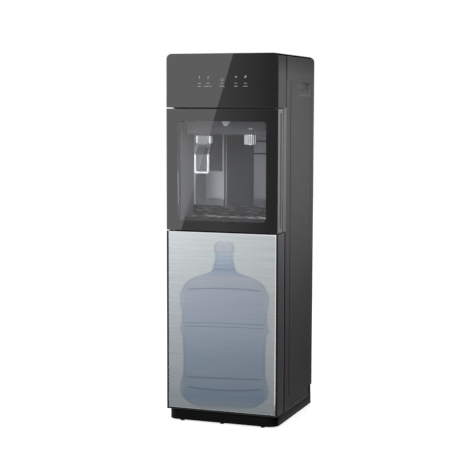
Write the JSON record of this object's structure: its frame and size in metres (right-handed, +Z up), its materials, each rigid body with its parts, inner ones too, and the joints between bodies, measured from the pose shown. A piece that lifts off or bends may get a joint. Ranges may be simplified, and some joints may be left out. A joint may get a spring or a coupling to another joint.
{
  "type": "bottom load water cooler",
  "caption": "Free-standing water cooler: glass door over a lit niche with hot and cold taps, taller silver door over a bottle bay, touch-key head and a coil on the back.",
  "frame": {"origin": "on the floor under the middle of the cooler's outline", "axes": "+X to the right seen from the front, +Y to the back, +Z up"},
  "size_m": [0.335, 0.34, 1.054],
  "materials": {
    "moulded_black": "moulded, fine grain",
    "moulded_side": "moulded, satin",
    "niche_grey": "moulded, satin",
    "printed_glass": "black printed behind clear glass, polished",
    "door_glass": "clear window in a black printed border, polished",
    "brushed_silver": "fine brushing along X",
    "stainless": "brushed",
    "chromed": "polished",
    "zinc_steel": "zinc plated",
    "black_steel": "satin black enamel",
    "galvanised": "coated sheet",
    "rubber_black": "matt",
    "lever_grey": "moulded, satin",
    "smoked_clear": "smoked, polished",
    "bottle_blue": "clear tinted, polished",
    "cap_white": "moulded",
    "tube_clear": "food-grade tube",
    "lamp_lens": "frosted lens",
    "foam_white": "expanded foam",
    "copper": "drawn copper tube",
    "circuit": "lacquered board",
    "switch_black": "moulded",
    "rocker_red": "moulded",
    "rocker_green": "moulded"
  },
  "bodies": {
    "cabinet": {"base": "moulded_black", "rubber_feet": "rubber_black", "bottle_floor": "moulded_black", "water_bottle": "bottle_blue", "bottle_cap": "cap_white", "suction_probe": "tube_clear", "pillar_left": "moulded_side", "pillar_right": "moulded_side", "middle_beam": "moulded_black", "head_beam": "moulded_black", "side_panel_left": "moulded_side", "side_panel_right": "moulded_side", "grip_cup_left": "moulded_side", "grip_cup_right": "moulded_side", "back_panel": "galvanised", "top_cover": "moulded_side", "head_shell": "moulded_side", "head_glass": "printed_glass", "display_board": "circuit", "hinge_plates": "zinc_steel", "niche_liner": "niche_grey", "splash_plate_left": "stainless", "splash_plate_right": "stainless", "tap_hood": "niche_grey", "niche_lamp": "lamp_lens", "hot_tap_body": "niche_grey", "cold_nozzle": "chromed", "bay_ceiling": "zinc_steel", "tank_shelf": "zinc_steel", "compressor": "black_steel", "cold_tank": "stainless", "evaporator_sleeve": "copper", "hot_tank": "stainless", "heater_band": "zinc_steel", "tank_insulation": "foam_white", "pump": "switch_black", "water_lines": "tube_clear", "condenser_tube": "black_steel", "condenser_wires": "black_steel", "condenser_clips": "moulded_black", "power_inlet": "switch_black", "switch_plate": "switch_black", "drain_pipe": "moulded_black", "electronics_tray": "moulded_black", "power_board": "circuit", "screws": "zinc_steel"},
    "upper_door": {"upper_door_frame": "moulded_side", "upper_door_glass": "door_glass", "window_mask": "moulded_black", "upper_door_seal": "rubber_black"},
    "lower_door": {"lower_door_frame": "moulded_side", "lower_door_panel": "brushed_silver", "lower_door_seal": "rubber_black"},
    "hot_lever": {"hot_lever": "lever_grey", "hot_paddle": "smoked_clear"},
    "drip_tray": {"drip_tray": "niche_grey"},
    "drip_grille": {"drip_grille": "stainless"},
    "rocker_hot": {"rocker_hot": "rocker_red"},
    "rocker_cold": {"rocker_cold": "rocker_green"},
    "drain_cap": {"drain_cap": "rubber_black"}
  },
  "joints": [
    {"name": "upper_door_hinge", "type": "hinge", "parent": "cabinet", "child": "upper_door", "pos_m": [-0.15, -0.152, 0.7275], "axis": [0, 0, -1], "range_deg": [0, 110]},
    {"name": "lower_door_hinge", "type": "hinge", "parent": "cabinet", "child": "lower_door", "pos_m": [-0.15, -0.152, 0.293], "axis": [0, 0, -1], "range_deg": [0, 110]},
    {"name": "hot_lever_push", "type": "hinge", "parent": "cabinet", "child": "hot_lever", "pos_m": [-0.07, -0.122, 0.813], "axis": [1, 0, 0], "range_deg": [0, 10], "stiffness_Nm_per_rad": 0.05, "springref_deg": -11.46},
    {"name": "drip_tray_lift", "type": "slide", "parent": "cabinet", "child": "drip_tray", "axis": [0, 0, 1], "range_m": [0, 0.03]},
    {"name": "drip_grille_lift", "type": "slide", "parent": "drip_tray", "child": "drip_grille", "axis": [0, 0, 1], "range_m": [0, 0.05]},
    {"name": "rocker_hot_tip", "type": "hinge", "parent": "cabinet", "child": "rocker_hot", "pos_m": [0.112, 0.15, 0.675], "axis": [1, 0, 0], "range_deg": [-16, 0]},
    {"name": "rocker_cold_tip", "type": "hinge", "parent": "cabinet", "child": "rocker_cold", "pos_m": [0.112, 0.15, 0.649], "axis": [1, 0, 0], "range_deg": [-16, 0]},
    {"name": "drain_cap_pull", "type": "slide", "parent": "cabinet", "child": "drain_cap", "axis": [0, 1, 0], "range_m": [0, 0.025]}
  ]
}
